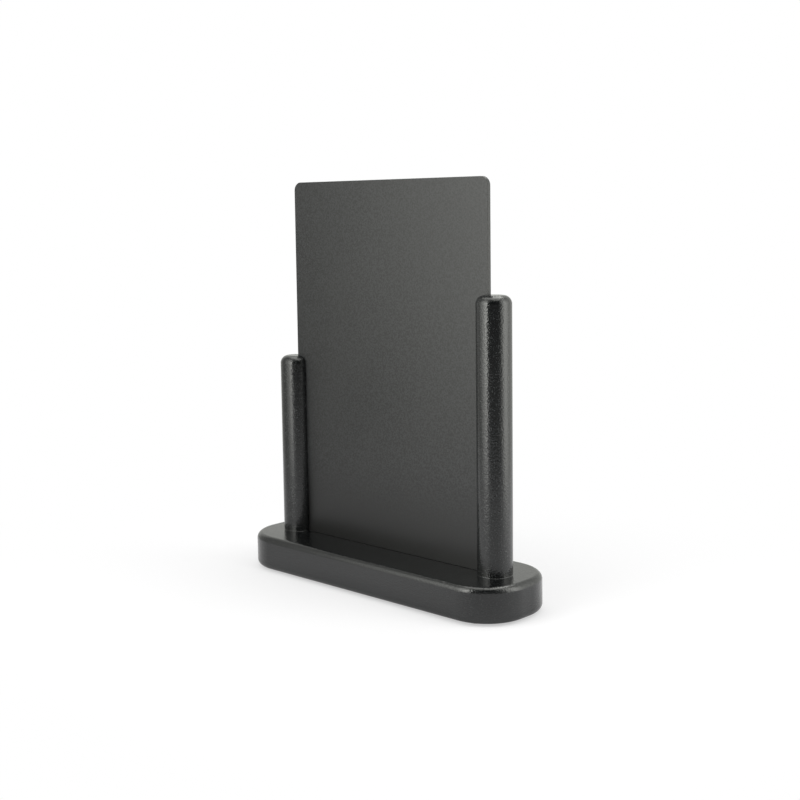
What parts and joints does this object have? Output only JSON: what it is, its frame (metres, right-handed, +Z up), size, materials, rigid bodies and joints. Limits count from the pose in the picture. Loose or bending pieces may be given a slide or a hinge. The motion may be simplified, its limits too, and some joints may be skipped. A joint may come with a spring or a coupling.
{
  "type": "tabletop chalkboard",
  "caption": "Tabletop chalkboard: a thin matte black writing panel slides down into grooves in round lacquered posts on a thick base with rounded ends.",
  "frame": {"origin": "on the table, at the middle of the base's footprint, in the plane of the foot pads' lower faces", "axes": "+X along the base towards the taller post, +Y square to the writing faces (the front of the stand faces -Y), +Z up"},
  "size_m": [0.28, 0.082, 0.3265],
  "materials": {
    "black_lacquer": "hardwood with several coats of black gloss lacquer, slight orange peel, grain faintly showing through",
    "chalkboard_coating": "thin hardboard with a matte black chalkboard coating on both faces, very fine sandy grain",
    "zinc_plated_steel": "bright zinc plate",
    "black_foam": "dense black foam rubber, self-adhesive"
  },
  "bodies": {
    "stand": {"base": "black_lacquer", "tall_post": "black_lacquer", "short_post": "black_lacquer", "tall_post_screw": "zinc_plated_steel", "short_post_screw": "zinc_plated_steel", "foot_pad_front_left": "black_foam", "foot_pad_front_right": "black_foam", "foot_pad_back_left": "black_foam", "foot_pad_back_right": "black_foam"},
    "panel": {"chalkboard_panel": "chalkboard_coating"}
  },
  "joints": [
    {"name": "panel_lift", "type": "slide", "parent": "stand", "child": "panel", "axis": [0, 0, 1], "range_m": [0, 0.22]}
  ]
}
